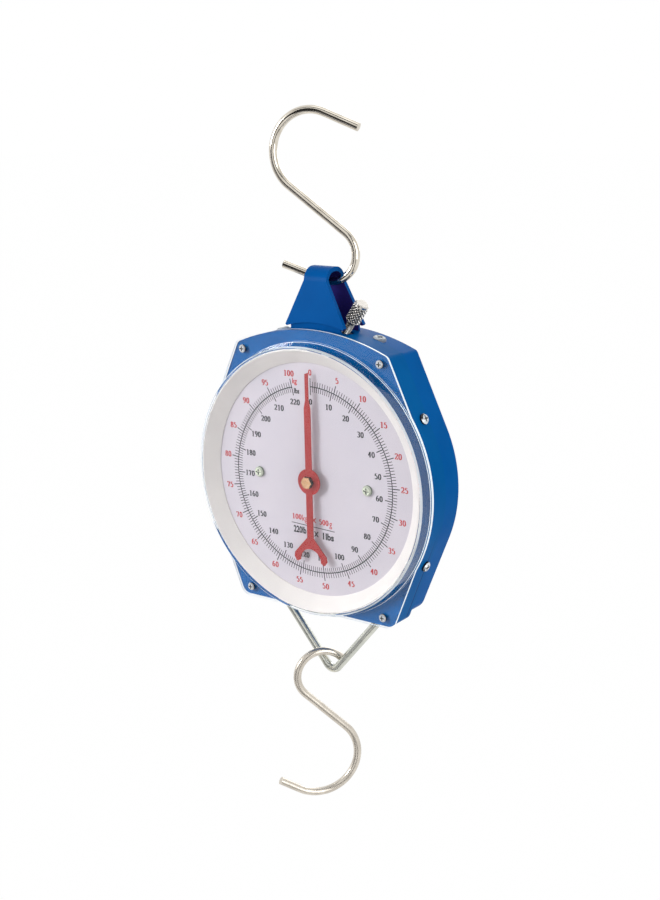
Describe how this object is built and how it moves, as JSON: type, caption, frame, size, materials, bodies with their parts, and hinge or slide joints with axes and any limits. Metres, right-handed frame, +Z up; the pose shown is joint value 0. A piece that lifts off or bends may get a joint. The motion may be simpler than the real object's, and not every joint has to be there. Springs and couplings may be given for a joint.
{
  "type": "hanging spring scale",
  "caption": "Round-dial hanging spring scale: a hook and yoke carry the case, two springs hold a load bar whose rack turns the pointer, a bail takes the load hook.",
  "frame": {"origin": "hang point: the inside of the upper hook's bow, straight above the dial's centre", "axes": "+Z up, X to the right and Y to the back as one faces the dial"},
  "size_m": [0.2062, 0.0593, 0.5255],
  "materials": {
    "nickel": "polished nickel plate",
    "blue_paint": "satin blue enamel on sheet steel",
    "clear": "clear moulded cover",
    "ring_white": "warm white",
    "dial_white": "printed dial plate",
    "steel": "zinc plated",
    "white_screw": "bright plated pan heads",
    "knurled": "knurled, bright",
    "brass": "turned brass",
    "red_pointer": "red enamel",
    "nylon": "nylon",
    "alloy": "milled",
    "spring_steel": "oil-tempered wire"
  },
  "bodies": {
    "hanging_hook": {"upper_hook": "nickel"},
    "housing": {"yoke": "blue_paint", "hanger_block": "alloy", "rear_case": "blue_paint", "front_case": "blue_paint", "lens_cover": "clear", "dial_ring": "ring_white", "dial_plate": "dial_white", "dial_screws": "white_screw", "front_spacers": "steel", "middle_spacers": "steel", "rear_spacers": "steel", "front_strap": "steel", "rear_strap": "steel", "post_nuts": "steel", "rack_guide_pin": "steel", "cover_screws": "white_screw", "cover_nuts": "steel", "side_screws": "steel", "side_nuts": "steel", "top_screws": "steel", "yoke_bolts": "steel", "anchor_guide_pin": "steel", "front_bushing": "brass", "rear_bushing": "brass", "bail_bushings": "nylon"},
    "anchor": {"spring_anchor": "steel", "spring_left": "spring_steel", "spring_right": "spring_steel"},
    "zero_adjuster": {"zero_knob": "knurled", "adjusting_screw": "steel", "screw_collar": "steel", "screw_clip": "steel"},
    "load": {"load_bar": "steel", "rack": "steel", "rack_screws": "steel", "bail": "nickel", "bail_nuts": "steel"},
    "pointer_shaft": {"spindle": "steel", "pinion": "brass", "pointer_collar": "steel", "spindle_clips": "steel", "pointer": "red_pointer", "pointer_nut": "brass"},
    "load_hook": {"lower_hook": "nickel"}
  },
  "joints": [
    {"name": "swing", "type": "hinge", "parent": "hanging_hook", "child": "housing", "pos_m": [0, 0, -0.11082], "axis": [0.9781, 0.2079, 0], "range_deg": [-20, 20]},
    {"name": "load_travel", "type": "slide", "parent": "housing", "child": "load", "axis": [0, 0, -1], "range_m": [0, 0.02415], "stiffness_N_per_m": 40600, "deforming": ["spring_left", "spring_right"]},
    {"name": "pointer_turn", "type": "hinge", "parent": "housing", "child": "pointer_shaft", "pos_m": [0, 0, -0.25842], "axis": [0, 1, 0], "range_deg": [0, 346.1]},
    {"name": "zero_turn", "type": "hinge", "parent": "housing", "child": "zero_adjuster", "pos_m": [0.0333, 0, -0.12862], "axis": [0.5736, 0, 0.8192], "range_deg": [-360, 360]},
    {"name": "anchor_travel", "type": "slide", "parent": "housing", "child": "anchor", "axis": [0.5736, 0, 0.8192], "range_m": [-0.001, 0.001]},
    {"name": "load_hook_swing", "type": "hinge", "parent": "load", "child": "load_hook", "pos_m": [-0.00553, -0.00659, -0.41722], "axis": [-0.766, 0.6428, 0], "range_deg": [-5, 25]}
  ],
  "couplings": [
    {"joint": "pointer_turn", "follows": "load_travel", "rad_per_m": 250},
    {"joint": "zero_turn", "follows": "anchor_travel", "rad_per_m": -6283}
  ]
}
